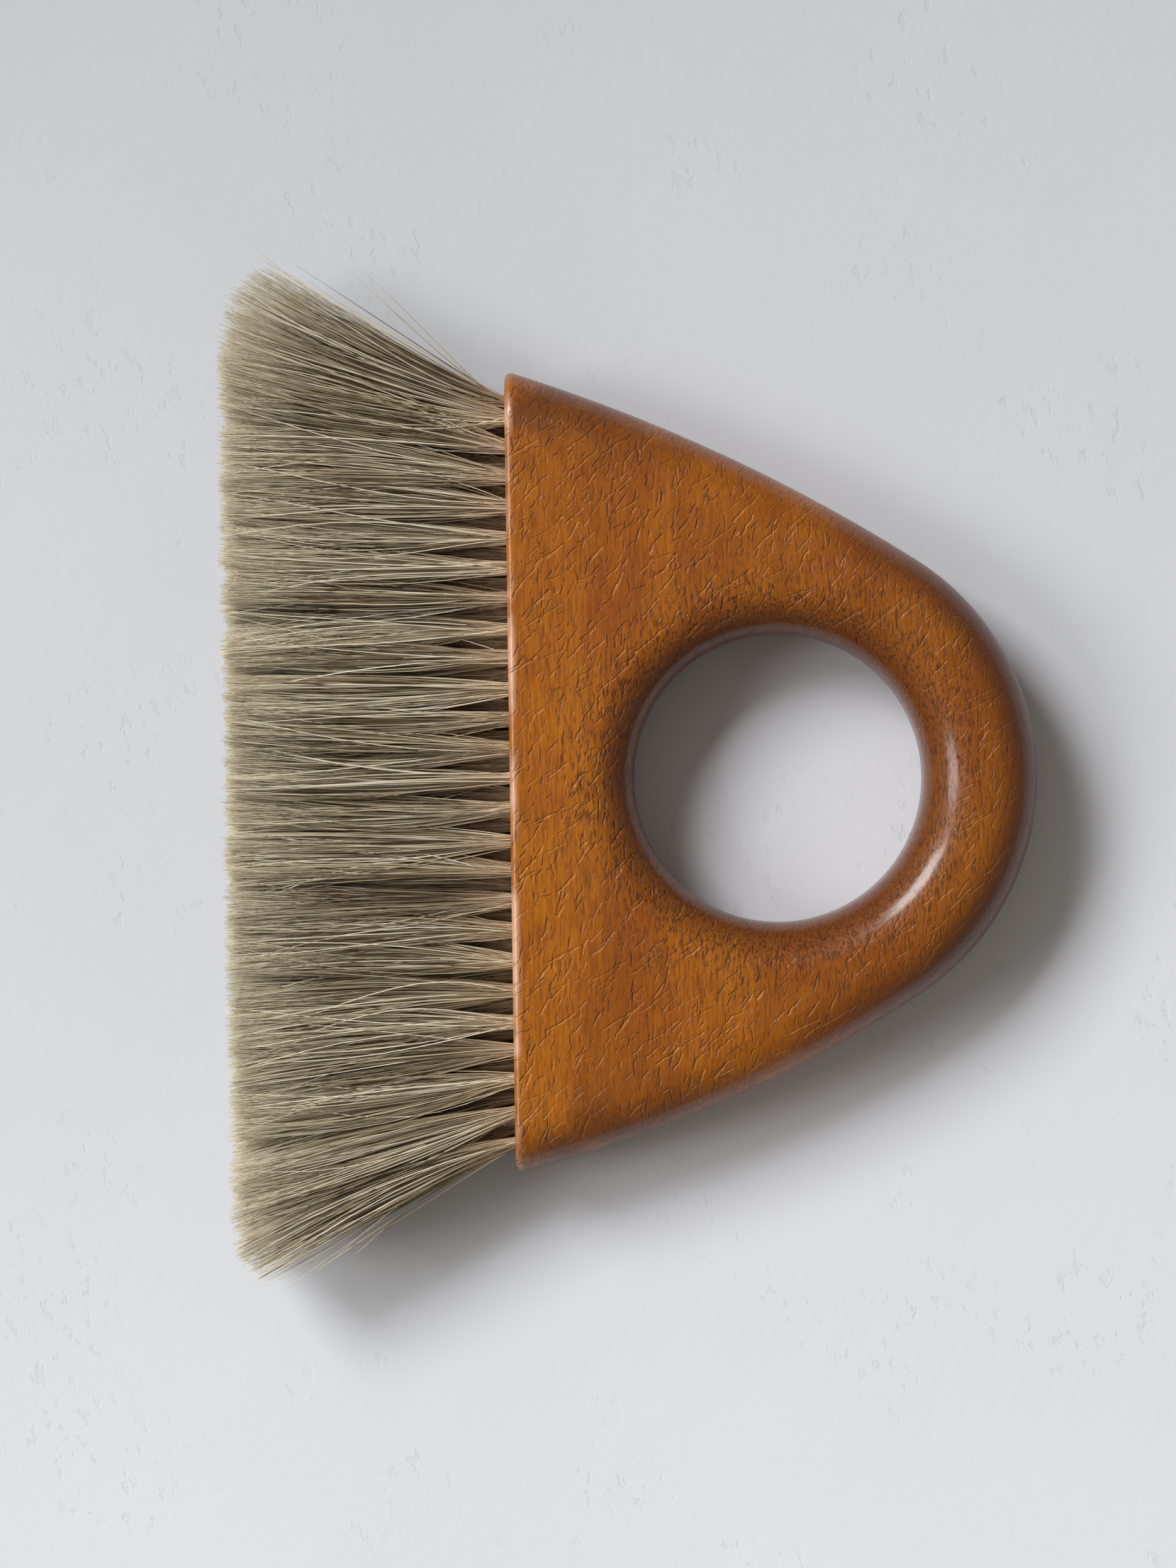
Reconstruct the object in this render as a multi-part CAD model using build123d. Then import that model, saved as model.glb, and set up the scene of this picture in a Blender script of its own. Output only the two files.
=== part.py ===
from build123d import *
import math
import os

# Clothes brush: a flat wooden body with a round hand hole, and four staggered rows of horsehair tufts set
# in its long straight face. X runs from the bristle tips to the round end of the handle, Y runs along the
# bristle face and Z through the thickness. The brush lies on its flat underside, on z = 0.

# Wooden body
face_width = 152.4          # bristle face, corner to corner
thickness = 24.0
hand_hole_radius = 27.5
face_to_hole = 23.5         # wood between the bristle face and the hand hole
ring_width = 21.5           # wood between the hand hole and the far end
hand_offset = -1.9          # the hand hole and the round end sit this far to one side of the middle
shoulder_angle = 57.0       # where the round end runs into the sides, seen from the hole's centre
edge_rounding = 9.5         # sides, round end and hand hole, on both faces
most_rounding = 0.45        # a rounding takes up at most this share of its wall
face_arris = 1.2            # small rounding all round the bristle face

# Tuft holes
row_count = 4
tufts_per_row = 25
end_margin = 6.375          # corner of the bristle face to the middle of the last hole
face_margin = 4.2           # upper or lower face to the middle of the first row
hole_radius = 1.75
hole_depth = 10.0
drill_lead = 1.0            # the drill starts this far in front of the bristle face
least_lean = 2.0            # degrees; holes whose hair leans out by less are drilled straight

# Horsehair tufts
bristle_length = 55.0       # bristle face to the trimmed tips
tuft_clearance = 0.05       # all round a tuft in its hole
tip_gap = 0.4               # between neighbouring tufts at the trimmed tips
fan_reach = 17.6            # how far the end tufts lean outwards at their tips
fan_power = 5.5             # how suddenly the lean grows towards the ends
row_spread = 0.8            # how much wider the rows stand at the tips than at the roots
corner_trim = 8.0           # how much shorter the end tufts are
corner_power = 12.0
tuft_sides = 12             # flats round the flared part of a tuft

# Flat wire staples that hold the folded tufts
wire_size = 0.5             # square section
staple_width = 2.6          # between the middles of the two legs
staple_bend = 0.2           # inside radius of the bends
staple_bite = 4.0           # how far the legs go into the wood below the hole
staple_height = 1.5         # middle of the crown above the bottom of the hole
wire_clearance = 0.05

body_length = face_to_hole + 2 * hand_hole_radius + ring_width
face_x = (bristle_length - body_length) / 2
end_radius = hand_hole_radius + ring_width
rounding = min(edge_rounding, most_rounding * ring_width, most_rounding * thickness)
hole_centre_x = face_x + body_length - end_radius
tuft_radius = hole_radius - tuft_clearance
tuft_pitch = (face_width - 2 * end_margin) / (tufts_per_row - 0.5)
row_pitch = (thickness - 2 * face_margin) / (row_count - 1)
row_span = tuft_pitch * (tufts_per_row - 1) / 2
row_shift = tuft_pitch / 4
fan_span = row_span + row_shift
tip_row_pitch = row_pitch + row_spread
crown_at = hole_depth - staple_height
leg_end_at = hole_depth + staple_bite


def tuft_places(row):
    """Middle of each tuft of a row, as (y, root z, tip z)."""
    side = 1 if row % 2 == 0 else -1
    level = row - (row_count - 1) / 2
    root_z = thickness / 2 + level * row_pitch
    tip_z = thickness / 2 + level * tip_row_pitch
    places = []
    for column in range(tufts_per_row):
        y = column * tuft_pitch - row_span + side * row_shift
        places.append((y, root_z, tip_z))
    return places


def fanned(y):
    """Where a line that leaves the bristle face at y ends at the tips."""
    share = abs(y) / fan_span
    return y + math.copysign(fan_reach * share ** fan_power, y)


def leaning(y, root_z):
    """Frame of the hole that opens at y: it leans the way its hair fans out, so it stays in the wood."""
    lean = math.degrees(math.atan2(fanned(y) - y, bristle_length))
    if abs(lean) < least_lean:
        return Pos(face_x, y, root_z)
    return Pos(face_x, y, root_z) * Rot(0, 0, -lean)


def body_outline():
    """Plan of the body: straight bristle face, two slightly bowed sides and a round end."""
    angle = math.radians(shoulder_angle)
    centre = Vector(hole_centre_x, hand_offset)
    upper_corner = Vector(face_x, face_width / 2)
    lower_corner = Vector(face_x, -face_width / 2)
    upper_shoulder = centre + Vector(math.cos(angle), math.sin(angle)) * end_radius
    lower_shoulder = centre + Vector(math.cos(angle), -math.sin(angle)) * end_radius
    far_end = centre + Vector(end_radius, 0)
    round_end = ThreePointArc(lower_shoulder, far_end, upper_shoulder)
    upper_side = TangentArc(upper_shoulder, upper_corner, tangent=(-math.sin(angle), math.cos(angle)))
    lower_side = TangentArc(lower_shoulder, lower_corner, tangent=(-math.sin(angle), -math.cos(angle)))
    face_line = Line(upper_corner, lower_corner)
    return make_face([round_end, upper_side, lower_side, face_line])


def staple_cavity():
    """Room for one staple at the bottom of a hole centred on the X axis, face at x = 0."""
    room = wire_size + 2 * wire_clearance
    crown = Box(room, room, staple_width + room)
    crown = Pos(crown_at, 0, 0) * crown
    leg_length = staple_height + staple_bite + room
    leg = Pos(crown_at - room / 2 + leg_length / 2, 0, 0) * Box(leg_length, room, room)
    upper_leg = Pos(0, 0, staple_width / 2) * leg
    lower_leg = Pos(0, 0, -staple_width / 2) * leg
    return crown + upper_leg + lower_leg


def round_root(radius, depth):
    """A round bar on the X axis, from in front of the bristle face to a depth in the wood."""
    length = depth + drill_lead
    return Pos(depth - length / 2, 0, 0) * Rot(0, 90, 0) * Cylinder(radius, length)


def handle_body():
    """The wooden body with its hand hole, tuft holes and the channels that the staple legs cut."""
    wood = extrude(body_outline(), thickness)
    hole_at = Pos(hole_centre_x, hand_offset, thickness / 2)
    wood -= hole_at * Cylinder(hand_hole_radius, thickness)
    rims = wood.edges().filter_by(GeomType.CIRCLE)
    wood = fillet(rims, rounding)
    face_edges = wood.edges().filter_by_position(Axis.X, face_x - 0.001, face_x + 0.001)
    wood = fillet(face_edges, face_arris)
    cutter = round_root(hole_radius, hole_depth) + staple_cavity()
    cutters = []
    for row in range(row_count):
        for y, root_z, tip_z in tuft_places(row):
            cutters.append(leaning(y, root_z) * cutter)
    return wood.cut(*cutters)


def oval(centre, half_width, half_height):
    """A many-sided oval across the X axis."""
    corners = []
    for side in range(tuft_sides):
        angle = 2 * math.pi * side / tuft_sides
        corner = Vector(0, half_width * math.cos(angle), half_height * math.sin(angle))
        corners.append(centre + corner)
    return make_face(Polyline(*corners, close=True))


def tuft(y, root_z, tip_z):
    """One folded bunch of hair: a round root in its hole, flaring to an oval trimmed tip."""
    root = round_root(tuft_radius, hole_depth - tuft_clearance) - staple_cavity()
    in_front = Box(2 * drill_lead, 4 * hole_radius, 4 * hole_radius)
    root = leaning(y, root_z) * root - Pos(face_x - drill_lead, y, root_z) * in_front
    tip_low = fanned(y - tuft_pitch / 2) + tip_gap / 2
    tip_high = fanned(y + tuft_pitch / 2) - tip_gap / 2
    trim = corner_trim * min(1.0, abs(y) / fan_span) ** corner_power
    tip_x = face_x - bristle_length + trim
    root_section = oval(Vector(face_x, y, root_z), tuft_radius, tuft_radius)
    tip_centre = Vector(tip_x, (tip_low + tip_high) / 2, tip_z)
    tip_section = oval(tip_centre, (tip_high - tip_low) / 2, (tip_row_pitch - tip_gap) / 2)
    flare = loft([root_section, tip_section], ruled=True)
    return root + flare


def staple():
    """One U-shaped flat wire staple on the X axis, as it sits in a hole, legs along +X."""
    half = wire_size / 2
    leg = leg_end_at - crown_at
    outer = Box(leg + half, wire_size, staple_width + wire_size)
    inner = Box(leg + half, wire_size, staple_width - wire_size)
    wire = Pos((leg - half) / 2, 0, 0) * outer - Pos((leg - half) / 2 + wire_size, 0, 0) * inner
    for crown_side, bend_radius in ((-half, staple_bend + wire_size), (half, staple_bend)):
        across = wire.edges().filter_by(Axis.Y)
        wire = fillet(across.filter_by_position(Axis.X, crown_side - 0.001, crown_side + 0.001), bend_radius)
    return Pos(crown_at, 0, 0) * wire


def group(pieces, name):
    """Separate solids written together as one node."""
    solids = [solid for piece in pieces for solid in piece.solids()]
    node = Compound(children=solids) if len(solids) > 1 else solids[0]
    export_step(node, f"parts/{name}.step")


os.makedirs("parts", exist_ok=True)
group([handle_body()], "handle_body")

rows = [tuft_places(row) for row in range(row_count)]
for column in range(tufts_per_row):
    lower_pair = [tuft(*rows[row][column]) for row in range(row_count // 2)]
    upper_pair = [tuft(*rows[row][column]) for row in range(row_count // 2, row_count)]
    group(lower_pair, f"lower_tufts_{column + 1:02d}")
    group(upper_pair, f"upper_tufts_{column + 1:02d}")

wire = staple()
for row in range(row_count):
    staples = [leaning(y, root_z) * wire for y, root_z, tip_z in rows[row]]
    group(staples, f"staples_row_{row + 1}")
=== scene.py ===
import math

import bpy
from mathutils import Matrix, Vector


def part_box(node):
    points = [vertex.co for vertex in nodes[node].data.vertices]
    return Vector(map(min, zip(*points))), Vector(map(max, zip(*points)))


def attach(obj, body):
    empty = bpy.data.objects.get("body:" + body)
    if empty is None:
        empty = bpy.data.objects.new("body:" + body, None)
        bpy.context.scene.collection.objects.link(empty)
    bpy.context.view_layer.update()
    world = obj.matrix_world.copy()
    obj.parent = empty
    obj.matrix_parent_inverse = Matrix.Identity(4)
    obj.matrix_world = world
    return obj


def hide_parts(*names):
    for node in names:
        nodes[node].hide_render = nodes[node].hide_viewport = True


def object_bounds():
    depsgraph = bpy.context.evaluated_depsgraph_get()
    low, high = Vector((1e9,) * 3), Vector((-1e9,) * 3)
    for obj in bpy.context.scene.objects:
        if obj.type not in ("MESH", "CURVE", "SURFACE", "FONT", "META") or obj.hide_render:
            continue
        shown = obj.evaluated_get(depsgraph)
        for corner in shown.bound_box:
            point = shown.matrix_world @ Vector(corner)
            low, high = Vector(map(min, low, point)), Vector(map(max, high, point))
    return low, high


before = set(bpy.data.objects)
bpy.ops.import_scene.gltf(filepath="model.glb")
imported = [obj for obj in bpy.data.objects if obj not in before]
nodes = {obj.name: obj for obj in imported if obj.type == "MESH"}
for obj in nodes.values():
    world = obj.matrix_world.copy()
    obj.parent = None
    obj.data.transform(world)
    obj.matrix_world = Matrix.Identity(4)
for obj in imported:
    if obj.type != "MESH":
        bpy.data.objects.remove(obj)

cad_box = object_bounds()


# ---- Camera ------------------------------------------------------------------------------------------
# A long lens straight above the brush, as it lies flat, turned a little so that the bristle face leans.
cad_low, cad_high = Vector(cad_box[0]), Vector(cad_box[1])
view_height = 0.299         # height of the picture at the middle of the wood
view_distance = 0.75
view_turn = -0.85           # degrees
view_middle = Vector((-0.0078, -0.0025, (cad_low.z + cad_high.z) / 2))
film_height = 36.0          # mm

camera_data = bpy.data.cameras.new("camera")
camera_data.sensor_fit = "VERTICAL"
camera_data.sensor_height = film_height
camera_data.lens = film_height * view_distance / view_height
camera_data.clip_start = 0.01
camera = bpy.data.objects.new("camera", camera_data)
camera.location = view_middle + Vector((0, 0, view_distance))
camera.rotation_euler = (0, 0, math.radians(view_turn))
bpy.context.scene.collection.objects.link(camera)
bpy.context.scene.camera = camera
bpy.context.scene.view_settings.view_transform = "Standard"


# ---- Light -------------------------------------------------------------------------------------------
# Two soft windows, the stronger at the upper left and the other straight to the left, and an even, slightly
# warm light from the rest of the room.
daylight = (0.97, 0.985, 1.0)
room_light = (1.0, 0.92, 0.81, 1.0)
room_strength = 0.23


def window(name, place, size, power):
    data = bpy.data.lights.new(name, "AREA")
    data.shape = "RECTANGLE"
    data.size, data.size_y = size
    data.energy = power
    data.color = daylight
    light = bpy.data.objects.new(name, data)
    light.location = place
    light.rotation_euler = (view_middle - Vector(place)).to_track_quat("-Z", "Y").to_euler()
    bpy.context.scene.collection.objects.link(light)


window("upper_left_window", place=(-1.50, 1.34, 1.86), size=(1.0, 1.0), power=64.0)
window("left_window", place=(-2.05, -0.02, 1.62), size=(0.8, 1.0), power=24.0)

room = bpy.data.worlds.new("room")
room.use_nodes = True
room.node_tree.nodes["Background"].inputs["Color"].default_value = room_light
room.node_tree.nodes["Background"].inputs["Strength"].default_value = room_strength
bpy.context.scene.world = room


# ---- Node trees --------------------------------------------------------------------------------------
# Short names for the nodes that the finishes and the hair are made of.
class Signal:
    """A socket of a node tree. Arithmetic on it adds Math nodes, and node() adds any other node."""

    def __init__(self, tree, socket=None):
        self.tree, self.socket = tree, socket

    def put(self, target, value):
        if isinstance(value, Signal):
            self.tree.links.new(value.socket, target)
        elif value is not None:
            target.default_value = value

    def node(self, kind, settings=None, inputs=None, out=0):
        made = self.tree.nodes.new(kind)
        for name, value in (settings or {}).items():
            setattr(made, name, value)
        for name, value in (inputs or {}).items():
            self.put(made.inputs[name], value)
        return Signal(self.tree, made.outputs[out])

    def other(self, name):
        """Another output of the node that this socket belongs to."""
        return Signal(self.tree, self.socket.node.outputs[name])

    def math(self, operation, a, b=None, clamp=False):
        settings = {"operation": operation, "use_clamp": clamp}
        return self.node("ShaderNodeMath", settings, {0: a, 1: b})

    def vector(self, operation, a, b=None, out=0):
        return self.node("ShaderNodeVectorMath", {"operation": operation}, {0: a, 1: b}, out)

    def mix(self, factor, a, b):
        """Colour a turning into colour b. The inputs 6 and 7 and the output 2 are the colour ones."""
        return self.node("ShaderNodeMix", {"data_type": "RGBA"}, {0: factor, 6: a, 7: b}, 2)

    def ramp(self, factor, stops):
        """A colour for each value of a factor, from (value, colour) stops."""
        made = self.node("ShaderNodeValToRGB", None, {0: factor})
        elements = made.socket.node.color_ramp.elements
        while len(elements) < len(stops):
            elements.new(0.5)
        for element, (position, shade) in zip(elements, stops):
            element.position, element.color = position, shade
        return made

    def between(self, low, high):
        """0 below low and 1 above high, with soft ends."""
        settings = {"interpolation_type": "SMOOTHSTEP"}
        return self.node("ShaderNodeMapRange", settings, {0: self, 1: low, 2: high, 3: 0.0, 4: 1.0})

    def noise(self, place, scale, detail=2.0, roughness=0.5, distortion=0.0):
        inputs = {"Vector": place, "Scale": scale, "Detail": detail}
        inputs.update({"Roughness": roughness, "Distortion": distortion})
        return self.node("ShaderNodeTexNoise", None, inputs)

    def scaled(self, place, scale, turn=0.0):
        """Coordinates stretched by scale after a turn about Z, in degrees."""
        turned = self.node("ShaderNodeMapping", None, {0: place, 2: (0, 0, math.radians(turn))})
        return self.node("ShaderNodeMapping", None, {0: turned, 3: scale})

    def relief(self, height, strength, distance):
        inputs = {"Height": height, "Strength": strength, "Distance": distance}
        return self.node("ShaderNodeBump", None, inputs)

    def parts(self):
        """The three coordinates of a vector."""
        first = self.node("ShaderNodeSeparateXYZ", None, {0: self}, 0)
        return first, first.other("Y"), first.other("Z")

    def __add__(self, other): return self.math("ADD", self, other)
    def __radd__(self, other): return self.math("ADD", other, self)
    def __sub__(self, other): return self.math("SUBTRACT", self, other)
    def __rsub__(self, other): return self.math("SUBTRACT", other, self)
    def __mul__(self, other): return self.math("MULTIPLY", self, other)
    def __rmul__(self, other): return self.math("MULTIPLY", other, self)
    def __truediv__(self, other): return self.math("DIVIDE", self, other)
    def __pow__(self, other): return self.math("POWER", self, other)


def new_finish(name):
    """An empty material: its tree as a Signal, its Principled shader and its Object coordinates."""
    material = bpy.data.materials.new(name)
    material.use_nodes = True
    tree = material.node_tree
    shader = tree.nodes["Principled BSDF"]
    maker = Signal(tree)
    place = maker.node("ShaderNodeTexCoord", None, None, "Object")
    return material, maker, shader, place


def colour(red, green, blue):
    return (red, green, blue, 1.0)


def refinish(name, material):
    """Give a CAD node another material. Its mesh stays as it is."""
    nodes[name].data.materials.clear()
    nodes[name].data.materials.append(material)


# ---- Floor -------------------------------------------------------------------------------------------
# Pale, finely trowelled plaster that the brush lies on. It isn't part of the brush.
floor_reach = 6.0           # from the brush to each edge
floor_gap = 0.0001          # below the brush, so that the two don't share a plane

plaster, make, shader, place = new_finish("plaster")
floor_x, floor_y, _ = place.parts()
cloudy = make.noise(place, scale=7.0, detail=3.0) * 0.20
# Painted light: the plaster is paler towards +X and much paler towards -Y, like a pool of window light;
# cloudy is its own blotchy tone.
paleness_and_painted_light = cloudy + 0.48 + floor_x * 0.7 - floor_y * 1.7
trowel_place = make.scaled(place, (1.0, 0.4, 1.0), turn=25)
trowel = make.noise(trowel_place, scale=60.0, detail=6.0, roughness=0.62)
grit = make.noise(place, scale=1100.0, detail=4.0, roughness=0.6)
flake_place = make.scaled(place, (1.0, 0.45, 1.0), turn=-25)
flakes = make.noise(flake_place, scale=420.0, detail=5.0, roughness=0.6).between(0.57, 0.64)
worn = make.noise(place, scale=24.0, detail=3.0, roughness=0.6).between(0.50, 0.62)
plaster_and_painted_light = make.mix(paleness_and_painted_light, colour(0.40, 0.410, 0.440), colour(0.88, 0.895, 0.945))
plaster_and_painted_light = make.mix(flakes * worn * 0.07, plaster_and_painted_light, colour(0.30, 0.29, 0.28))
make.put(shader.inputs["Base Color"], plaster_and_painted_light)
make.put(shader.inputs["Roughness"], 0.85)
height = trowel * 0.6 + grit * 0.10 - flakes * worn * 0.30
make.put(shader.inputs["Normal"], make.relief(height, strength=0.42, distance=0.0004))

floor_corners = [(-1, -1), (1, -1), (1, 1), (-1, 1)]
floor_mesh = bpy.data.meshes.new("floor")
floor_mesh.from_pydata([(x * floor_reach, y * floor_reach, 0) for x, y in floor_corners], [], [(0, 1, 2, 3)])
floor_mesh.materials.append(plaster)
floor = bpy.data.objects.new("floor", floor_mesh)
floor.location.z = cad_low.z - floor_gap
bpy.context.scene.collection.objects.link(floor)


# ---- Wooden body -------------------------------------------------------------------------------------
# One piece of close-grained fruitwood, sawn to its outline, rasped and sanded round, drilled for the hair
# and finished with oil and wax. Years of use have dented, scratched and darkened it.
# Shade round the hole, on the outer ring and in the dents, and highlights on the front edge and the pale
# scratches, are painted into the colour.
face_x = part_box("handle_body")[0].x     # the bristle face
hole_middle = (0.0285, -0.0019, 0.0)
hole_radius = 0.0275
along_grain = (1.0, 0.10, 1.0)          # the grain runs along Y

wood, make, shader, place = new_finish("oiled_wood")
wood_x, wood_y, _ = place.parts()

# Where the wood is worn or dark, and where shade or a highlight is painted: each is 1 there and 0 elsewhere.
outward = make.vector("MULTIPLY", make.vector("SUBTRACT", place, hole_middle), (1.0, 1.0, 0.0))
from_hole = make.vector("LENGTH", outward, None, "Value")
# Painted shade where the wood rolls down into the hole.
painted_rim_shade = 1.0 - from_hole.between(hole_radius + 0.001, hole_radius + 0.010)
hole_side = 1.0 - from_hole.between(hole_radius + 0.006, hole_radius + 0.022)
corners = make.math("ABSOLUTE", wood_y).between(0.050, 0.074)
# Painted highlight along the front arris, where it catches the window light.
painted_front_edge_highlight = 1.0 - wood_x.between(face_x + 0.0006, face_x + 0.0020)
# Painted shade on the outer slope of the ring, on its side away from the windows.
painted_outer_ring_shade = from_hole.between(hole_radius + 0.012, hole_radius + 0.019) * wood_x.between(0.030, 0.062)
handled = wood_x.between(0.020, 0.066)
smoother = wood_x.between(0.016, 0.045) * 0.6

# The wood itself: broad growth bands, fine fibres, clouds of colour, and pores that are thickest by the hole.
growth_place = make.scaled(place, along_grain, turn=3)
growth = make.noise(growth_place, scale=60.0, detail=4.0, roughness=0.6, distortion=0.4)
fibres = make.noise(make.scaled(place, along_grain), scale=1800.0, detail=4.0, roughness=0.66)
clouds = make.noise(place, scale=55.0, detail=4.0, roughness=0.6)
pores = make.noise(make.scaled(place, (1.0, 0.20, 1.0)), scale=2600.0, detail=2.0, roughness=0.5)
pores = make.math("MAXIMUM", pores.between(0.62, 0.70) * 0.6, pores.between(0.545, 0.62) * hole_side)

cut_waver = (0.0011, 0.0011, 0.0011)    # how far a cut strays from a straight line
waver = make.vector("MULTIPLY", make.noise(place, scale=420.0, detail=2.0).other("Color"), cut_waver)
wavering = make.vector("ADD", place, waver)


def scratches(size, width, length, seed, lean, spread, share):
    """Cuts in the surface: in each cell of space, one thin plane that reaches only a short way.

    lean and spread are in degrees, and share is how many of the cells have a cut.
    """
    shifted = make.vector("ADD", wavering, (seed * 0.013, seed * 0.007, seed * 0.003))
    cell_inputs = {"Vector": shifted, "Scale": 1 / size}
    cell = make.node("ShaderNodeTexVoronoi", {"feature": "F1"}, cell_inputs, "Position")
    chance_a, chance_b, chance_c = cell.other("Color").parts()
    turn = math.radians(lean) + (chance_a + chance_b - 1.0) * math.radians(spread)
    local = make.vector("SUBTRACT", shifted, cell)
    across_inputs = {0: make.math("COSINE", turn), 1: make.math("SINE", turn), 2: (chance_b - 0.5) * 0.6}
    across = make.node("ShaderNodeCombineXYZ", None, across_inputs)
    off = make.math("ABSOLUTE", make.vector("DOT_PRODUCT", local, across, "Value"))
    reach = make.vector("LENGTH", local, None, "Value")
    groove = 1.0 - off.between(0.0, width * (0.6 + chance_a * 0.8))
    ends = 1.0 - reach.between(length * 0.55, length)
    return groove * ends * make.math("LESS_THAN", chance_c, share)


short_lines = scratches(size=0.0036, width=0.00025, length=0.0030, seed=2, lean=-46, spread=30, share=0.50)
long_lines = scratches(size=0.0068, width=0.00026, length=0.0052, seed=4, lean=-54, spread=24, share=0.35)
small_dents = scratches(size=0.0023, width=0.00024, length=0.0018, seed=1, lean=-30, spread=44, share=0.50)
large_dents = scratches(size=0.0031, width=0.00022, length=0.0023, seed=3, lean=-10, spread=22, share=0.50)
gouges = scratches(size=0.014, width=0.00040, length=0.0018, seed=9, lean=-25, spread=60, share=0.45)
# The pale lines are partly wear that bares paler wood and partly painted highlight on the lit sides of
# scratches.
worn_lines_and_highlights = make.math("MAXIMUM", short_lines, long_lines)
# The dents are bumps in the surface, and their darker colour is painted shade.
dents_and_shade = make.math("MAXIMUM", small_dents, large_dents)
battered = make.noise(place, scale=90.0, detail=3.0, roughness=0.6).between(0.30, 0.55) * (1.0 - smoother)
dents_and_shade = dents_and_shade * (battered * 0.85 + 0.15)
worn_lines_and_highlights = worn_lines_and_highlights * (battered * 0.7 + 0.3)
hammer_place = make.scaled(place, (1.0, 0.45, 1.0), turn=-20)
hammered = make.noise(hammer_place, scale=700.0, detail=3.0, roughness=0.6)

# The colour, from the bare wood outwards: how much each layer covers, and its colour.
layers = (
    (fibres.between(0.42, 0.64) * 0.58, (0.170, 0.040, 0.0010)),
    (clouds.between(0.45, 0.75) * 0.40, (0.235, 0.043, 0.0020)),
    ((1.0 - clouds.between(0.25, 0.50)) * 0.35, (0.48, 0.165, 0.0050)),
    (handled * 0.45, (0.170, 0.042, 0.0020)),
    # Painted shade in the dents.
    (dents_and_shade * 0.26, (0.100, 0.022, 0.0010)),
    # Pale scratches: wear and painted highlight.
    (worn_lines_and_highlights * 0.38, (0.62, 0.245, 0.0250)),
    (corners * clouds.between(0.36, 0.58) * 0.70, (0.085, 0.026, 0.0050)),
    # Painted shade round the hole.
    (painted_rim_shade * 0.60, (0.095, 0.024, 0.0050)),
    # Painted shade on the outer slope of the ring.
    (painted_outer_ring_shade * 0.70, (0.070, 0.016, 0.0030)),
    (pores * 0.62, (0.040, 0.011, 0.0020)),
    (gouges * 0.75, (0.045, 0.012, 0.0030)),
    # Painted highlight, in patches, on the front arris.
    (painted_front_edge_highlight * clouds.between(0.38, 0.60) * 0.75, (0.72, 0.42, 0.260)),
)
base = make.mix(growth.between(0.35, 0.65), colour(0.305, 0.078, 0.0008), colour(0.430, 0.128, 0.0020))
for cover, shade in layers:
    base = make.mix(cover, base, colour(*shade))
make.put(shader.inputs["Base Color"], base)
height = fibres * 0.34 + hammered * 0.85 - (dents_and_shade + worn_lines_and_highlights) * 0.95 - gouges * 1.1 - pores * 0.40
make.put(shader.inputs["Normal"], make.relief(height, strength=0.85, distance=0.00024))
make.put(shader.inputs["Roughness"], 0.34 + fibres * 0.14)
make.put(shader.inputs["Specular IOR Level"], 0.25)
make.put(shader.inputs["Coat Weight"], 0.50)
make.put(shader.inputs["Coat Roughness"], 0.17)
refinish("handle_body", wood)


# ---- Horsehair tufts ---------------------------------------------------------------------------------
# Bunches of undyed horsehair, folded in two and pinned at the bottom of a hole in the wood. Each bunch
# leaves its hole as a tight round bundle, opens into locks and wisps, and is trimmed at the tips.
hairs_per_tuft = 250
locks_per_tuft = 6
wisps_per_lock = 6
hair_joints = 10            # points along each hair
hair_radius = 0.000105
root_room = 0.0016          # radius that the hairs fill in a hole of 1.75 mm
root_depth = 0.008          # how far the hairs go into the wood
least_height = 0.0003       # no hair is lower than this, so that none is in the floor
stray_rise = 0.0016         # how far stray hairs rise over the others
most_tuft_lean = 0.0018     # sideways, at the tips
most_tuft_bow = 0.0012      # sideways, halfway
uneven_hair, uneven_wisp, uneven_lock = 0.0015, 0.0017, 0.0007      # how uneven the trimmed line is
least_broken, most_broken = 0.003, 0.022                            # how much shorter a broken hair is
trim_power = 26.0           # how late the trimmed line starts to curve back at the ends of the fan

hair, make, shader, place = new_finish("horsehair")
tone = make.node("ShaderNodeAttribute", {"attribute_name": "tone"}, None, "Fac")
along = make.node("ShaderNodeAttribute", {"attribute_name": "along"}, None, "Fac")
shades = [(0.0, colour(0.050, 0.031, 0.014)), (0.35, colour(0.25, 0.185, 0.105)),
          (0.68, colour(0.55, 0.445, 0.285)), (1.0, colour(0.95, 0.86, 0.67))]
body_shade = make.ramp(tone, shades)
root_shade = make.mix(0.45, body_shade, colour(0.78, 0.53, 0.33))
tip_shade = make.mix(0.50, body_shade, colour(0.95, 0.86, 0.63))
base = make.mix(along.between(0.0, 0.30), root_shade, body_shade)
base = make.mix(along.between(0.60, 1.0), base, tip_shade)
make.put(shader.inputs["Base Color"], base)
make.put(shader.inputs["Roughness"], 0.38)
make.put(shader.inputs["Specular IOR Level"], 0.5)

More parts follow.
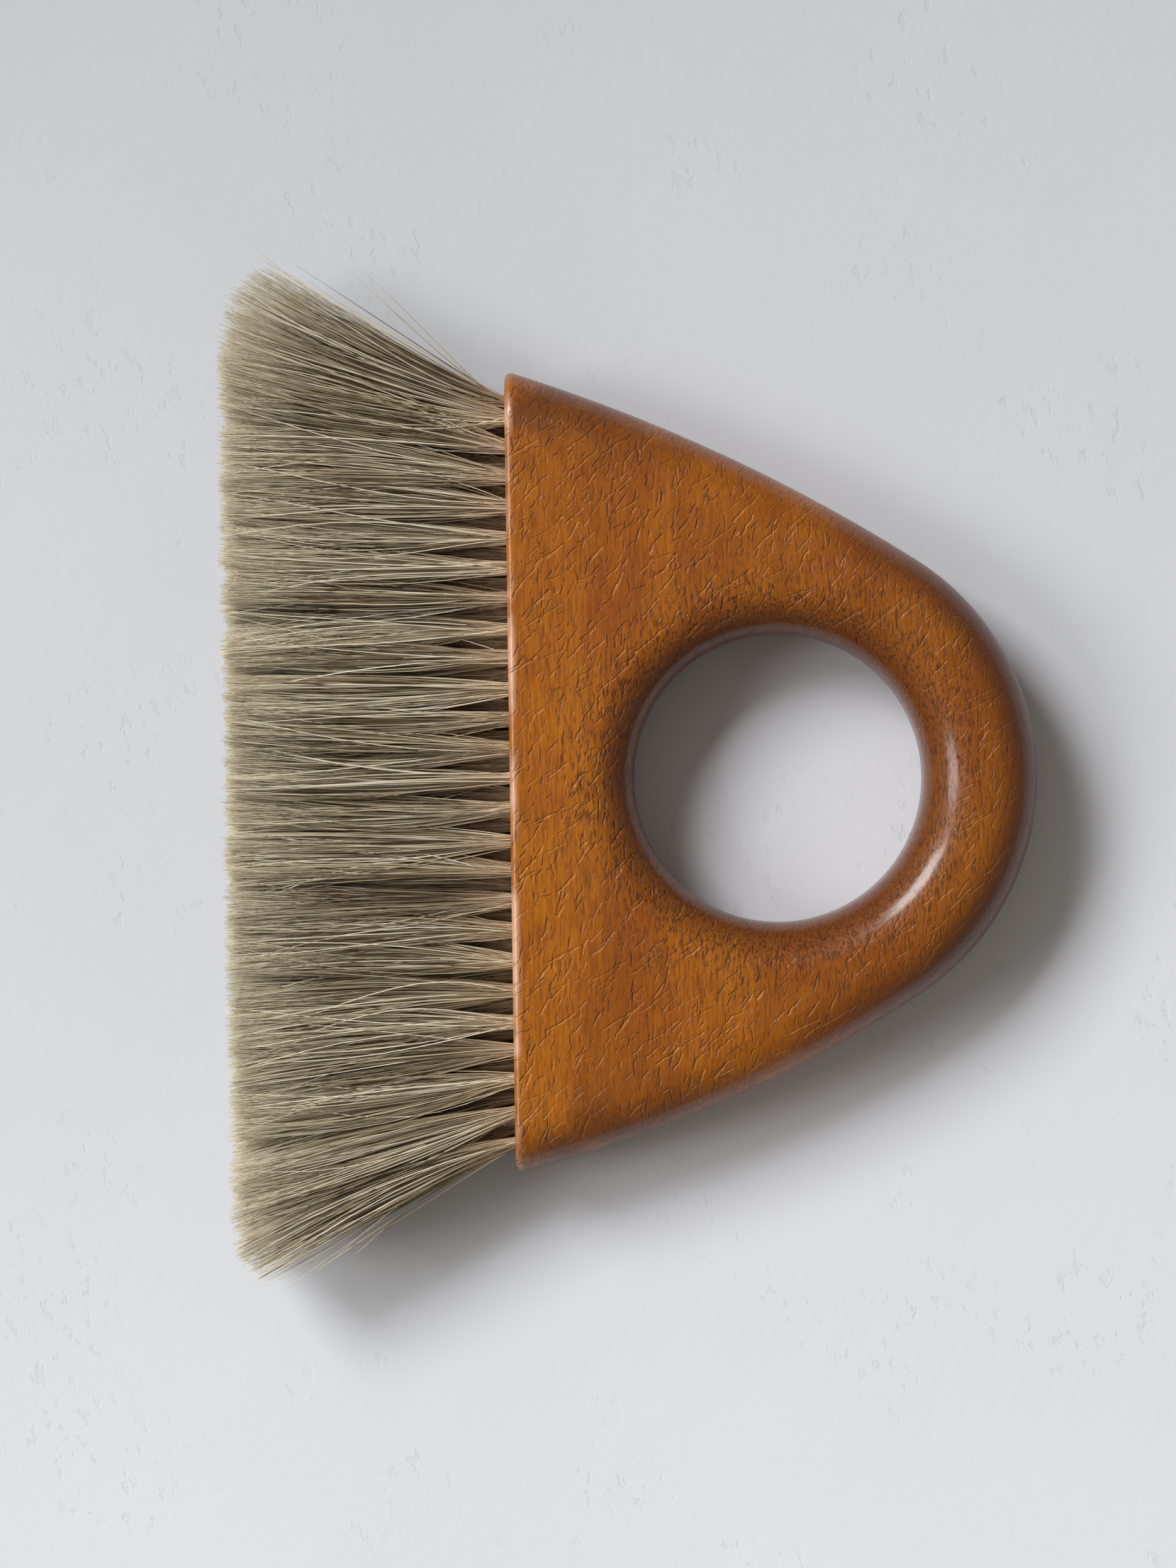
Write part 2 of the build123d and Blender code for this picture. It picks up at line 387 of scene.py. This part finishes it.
tree = bpy.data.node_groups.new("tuft_of_hair", "GeometryNodeTree")
tree_inputs = (
    ("Roots", "NodeSocketGeometry", None),
    ("Seed", "NodeSocketInt", 1),
    ("Hairs", "NodeSocketInt", hairs_per_tuft),
    ("Locks", "NodeSocketInt", locks_per_tuft),
    ("Wisps", "NodeSocketInt", wisps_per_lock),
    ("Joints", "NodeSocketInt", hair_joints),
    ("Hair radius", "NodeSocketFloat", hair_radius),
    ("Root radius", "NodeSocketFloat", root_room),
    ("Root depth", "NodeSocketFloat", root_depth),
    ("Tips", "NodeSocketFloat", 0.0),
    ("Corner trim", "NodeSocketFloat", 0.0),
    ("Fan spread", "NodeSocketFloat", 1.0),
)
input_ids = {}
for name, kind, default in tree_inputs:
    socket = tree.interface.new_socket(name, in_out="INPUT", socket_type=kind)
    if default is not None:
        socket.default_value = default
    input_ids[name] = socket.identifier
tree.interface.new_socket("Hair", in_out="OUTPUT", socket_type="NodeSocketGeometry")

make = Signal(tree)
given = make.node("NodeGroupInput", None, None, "Roots")
seed = given.other("Seed")
joints = given.other("Joints")


def chance(low, high, number, draw):
    """An even random value for each whole number. Each draw has a number of its own."""
    inputs = {2: low, 3: high, "ID": number, "Seed": seed * 97 + draw}
    return make.node("FunctionNodeRandomValue", {"data_type": "FLOAT"}, inputs, 1)


def either_way(most, number, draw):
    """An even random value from minus most to most."""
    return chance(-most, most, number, draw)


def disc(number, draw):
    """An even random point in a circle of radius 1, as its two coordinates. It takes two draws."""
    turn = chance(0.0, 2 * math.pi, number, draw)
    out = chance(0.0, 1.0, number, draw + 1) ** 0.5
    return out * make.math("COSINE", turn), out * make.math("SINE", turn)


def named(name, kind="FLOAT"):
    return make.node("GeometryNodeInputNamedAttribute", {"data_type": kind}, {"Name": name}, 0)


def store(geometry, name, value, kind="FLOAT", domain="POINT"):
    settings = {"data_type": kind, "domain": domain}
    inputs = {"Geometry": geometry, "Name": name, "Value": value}
    return make.node("GeometryNodeStoreNamedAttribute", settings, inputs)


def copies(geometry, amount):
    inputs = {"Geometry": geometry, "Amount": amount}
    return make.node("GeometryNodeDuplicateElements", {"domain": "POINT"}, inputs)


# One point for each joint of each hair of each tuft.
points = make.node("GeometryNodeMeshToPoints", None, {"Mesh": given})
points = store(points, "tuft", make.node("GeometryNodeInputIndex"))
points = copies(points, given.other("Hairs"))
points = store(points, "hair", make.node("GeometryNodeInputIndex"))
points = copies(points, joints)
points = store(points, "joint", points.other("Duplicate Index"))

tuft = named("tuft")
number = named("hair")
joint = named("joint")
own_lock = make.math("FLOOR", chance(0.0, 1.0, number, 1) * given.other("Locks")) + tuft * 50
own_wisp = make.math("FLOOR", chance(0.0, 1.0, number, 2) * given.other("Wisps")) + own_lock * 40

# Joint 0 is in the hole, and joint 1 at its mouth. outside goes from 0 there to 1 at the tip.
inside = make.math("LESS_THAN", joint, 0.5)
outside = make.math("MAXIMUM", (joint - 1.0) / (joints - 2.0), 0.0) ** 1.1

root_x, root_y, root_z = named("root", "FLOAT_VECTOR").parts()
tip_x, tip_y, tip_z = named("tip", "FLOAT_VECTOR").parts()
_, half_y, half_z = named("half_width", "FLOAT_VECTOR").parts()
lock_y, lock_z = disc(own_lock, 10)
wisp_y, wisp_z = disc(own_wisp, 15)
own_y, own_z = disc(number, 20)

# A few hairs stray across their neighbours, and lie on top of them.
stray = chance(0.0, 1.0, number, 30).between(0.945, 0.965)
opening = 1.0 - (1.0 - outside) ** 2.1
leaning = outside ** 1.22
bow = make.math("SINE", outside * math.pi)
wave = make.math("SINE", outside * 5.5 + chance(0.0, 6.28, number, 31)) * outside
wisp_wave = make.math("SINE", outside * 4.0 + chance(0.0, 6.28, own_wisp, 32)) * outside


def end_of(tip, half, lock, wisp, own, widen):
    """Where a hair ends sideways: each lock, wisp and hair has its own place in the tuft."""
    return tip + (lock * 0.75 + wisp * 0.42 + own * 0.16) * half * widen


def sideways(root, tip, end, lock, own, draw, bend, drift):
    """One sideways coordinate of a hair: from its place in the hole to its place at the tips.

    bend is the size of its curls, and drift how far a stray hair crosses. It takes six draws.
    """
    start = root + (lock * 0.45 + own * 0.60) * given.other("Root radius")
    path = start + (tip - root) * leaning + (end - tip - start + root) * (outside * 0.3 + opening * 0.7)
    curl = bow * either_way(0.9, number, draw) + wave * either_way(0.45, number, draw + 1)
    curl = curl + bow * either_way(1.0, own_wisp, draw + 2)
    curl = curl + wisp_wave * either_way(0.5, own_wisp, draw + 3)
    cross = stray * (outside ** 1.4 * either_way(drift, number, draw + 4)
                     + bow * either_way(drift, number, draw + 5) * 0.25)
    return path + curl * bend + cross


tuft_lean = either_way(most_tuft_lean, tuft, 80)
tuft_bow = bow * either_way(most_tuft_bow, tuft, 81)
end_y = end_of(tip_y + tuft_lean, half_y, lock_y, wisp_y, own_y, widen=1.50)
end_z = end_of(tip_z, half_z, lock_z, wisp_z, own_z, widen=1.30)
in_hole = inside * given.other("Root depth")
hole_lean = (tip_y - root_y) / (root_x - tip_x) * in_hole
hair_y = sideways(root_y, tip_y, end_y, lock_y, own_y, 40, bend=0.0013, drift=0.0075) + tuft_bow - hole_lean
hair_z = sideways(root_z, tip_z, end_z, lock_z, own_z, 50, bend=0.0009, drift=0.0010)
hair_z = make.math("MAXIMUM", hair_z + stray * bow * stray_rise, least_height)

# The tips are trimmed to one line that curves back at both ends of the fan.
toward_end = make.math("MINIMUM", make.math("ABSOLUTE", end_y) / given.other("Fan spread"), 1.0)
recess = toward_end ** trim_power * given.other("Corner trim")
uneven = chance(0.0, uneven_hair, number, 60) + chance(0.0, uneven_wisp, own_wisp, 61)
uneven = uneven + chance(0.0, uneven_lock, own_lock, 62)
broken = chance(0.0, 1.0, number, 63).between(0.95, 0.96) * chance(least_broken, most_broken, number, 64)
end_x = given.other("Tips") + recess + uneven + broken
hair_x = root_x + in_hole + (end_x - root_x) * outside
spot = make.node("ShaderNodeCombineXYZ", None, {0: hair_x, 1: hair_y, 2: hair_z})
points = make.node("GeometryNodeSetPosition", None, {"Geometry": points, "Position": spot})

# Each hair has its own tone. The lower rows are darker near the wood, which is painted shade from the rows
# above, and stray hairs are paler.
group_tone = either_way(0.18, own_wisp, 70) + chance(-0.16, 0.14, own_lock, 71)
painted_lower_row_shade = (1.0 - root_z.between(0.012, 0.018)) * (1.0 - outside.between(0.10, 0.45)) * 0.40
hair_tone = make.math("ADD", chance(0.02, 0.96, number, 72) + group_tone - painted_lower_row_shade, stray * 0.35, clamp=True)
points = store(points, "tone", hair_tone)
points = store(points, "along", outside)

curve_inputs = {"Points": points, "Curve Group ID": number, "Weight": joint}
curves = make.node("GeometryNodePointsToCurves", None, curve_inputs)
taper = (1.0 - outside * 0.25) * (1.0 - outside ** 6.0 * 0.5)
thick = given.other("Hair radius") * taper * chance(0.75, 1.3, number, 73)
section = make.node("GeometryNodeCurvePrimitiveCircle", {"mode": "RADIUS"}, {"Resolution": 3, "Radius": 1.0})
section = store(section, "around", make.node("GeometryNodeInputIndex"))
tube_inputs = {"Curve": curves, "Profile Curve": section, "Scale": thick, "Fill Caps": True}
tubes = make.node("GeometryNodeCurveToMesh", None, tube_inputs)
tubes = make.node("GeometryNodeSetShadeSmooth", None, {"Geometry": tubes, "Shade Smooth": True})

# Each hair gets a narrow upright strip of the map, in rows of strips.
strips, bands = 50, 10
row = make.math("FLOOR", number / strips)
across = (number - row * strips + 0.1 + named("around") * 0.27) / strips
up = (row + 0.05 + named("along") * 0.9) / bands
on_map = make.node("ShaderNodeCombineXYZ", None, {0: across, 1: up})
tubes = store(tubes, "OFBake", on_map, "FLOAT2", "CORNER")
tubes = make.node("GeometryNodeRealizeInstances", None, {"Geometry": tubes})
tubes = make.node("GeometryNodeSetMaterial", None, {"Geometry": tubes, "Material": hair})
result = tree.nodes.new("NodeGroupOutput")
make.put(result.inputs["Hair"], tubes)


def middle_and_half(group):
    """The middle of the box round some points, and half its size."""
    small = Vector([min(co[i] for co in group) for i in range(3)])
    large = Vector([max(co[i] for co in group) for i in range(3)])
    return (small + large) / 2, (large - small) / 2


def tufts_of(node):
    """Root centre, tip centre and tip half widths of the two tufts of a CAD node."""
    low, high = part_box(node)
    between_rows = (low.z + high.z) / 2
    found = []
    for upper in (False, True):
        own = [v.co for v in nodes[node].data.vertices if (v.co.z > between_rows) == upper]
        end_x = min(co.x for co in own)
        tip, half = middle_and_half([co for co in own if co.x < end_x + 0.0005])
        root = middle_and_half([co for co in own if abs(co.x - face_x) < 0.0001])[0]
        found.append((Vector((face_x, root.y, root.z)), Vector((end_x, tip.y, tip.z)), half))
    return found


tufts = {name: tufts_of(name) for name in sorted(nodes) if "tufts" in name}
all_tufts = [measures for pair in tufts.values() for measures in pair]
longest_x = min(tip.x for root, tip, half in all_tufts)
corner_trim = max(tip.x for root, tip, half in all_tufts) - longest_x
fan_spread = max(abs(tip.y) + half.y * 1.3 for root, tip, half in all_tufts)
for index, (name, pair) in enumerate(tufts.items()):
    roots = bpy.data.meshes.new(name + "_roots")
    roots.from_pydata([root for root, tip, half in pair], [], [])
    for label, column in (("root", 0), ("tip", 1), ("half_width", 2)):
        values = roots.attributes.new(label, "FLOAT_VECTOR", "POINT")
        for item, measures in zip(values.data, pair):
            item.vector = measures[column]
    maker = bpy.data.objects.new(name + "_maker", roots)
    bpy.context.scene.collection.objects.link(maker)
    grower = maker.modifiers.new("tuft_of_hair", "NODES")
    grower.node_group = tree
    grower[input_ids["Seed"]] = index + 1
    grower[input_ids["Tips"]] = longest_x
    grower[input_ids["Corner trim"]] = corner_trim
    grower[input_ids["Fan spread"]] = fan_spread
    seen = maker.evaluated_get(bpy.context.evaluated_depsgraph_get())
    mesh = bpy.data.meshes.new_from_object(seen)
    bpy.data.objects.remove(maker)
    piece = bpy.data.objects.new(name.replace("tufts", "horsehair"), mesh)
    bpy.context.scene.collection.objects.link(piece)
    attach(piece, "root")
    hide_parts(name)


# ---- Staples -----------------------------------------------------------------------------------------
# Short lengths of drawn steel wire bent to a U, driven over the fold of each tuft into the wood below.
steel, make, shader, place = new_finish("staple_wire")
drawn = make.noise(make.scaled(place, (0.1, 1.0, 1.0)), scale=6000.0, detail=2.0)
wire_colour = make.mix(drawn, colour(0.42, 0.41, 0.39), colour(0.62, 0.61, 0.58))
make.put(shader.inputs["Base Color"], wire_colour)
make.put(shader.inputs["Roughness"], 0.28 + drawn * 0.15)
make.put(shader.inputs["Metallic"], 1.0)
for name in nodes:
    if name.startswith("staples"):
        refinish(name, steel)
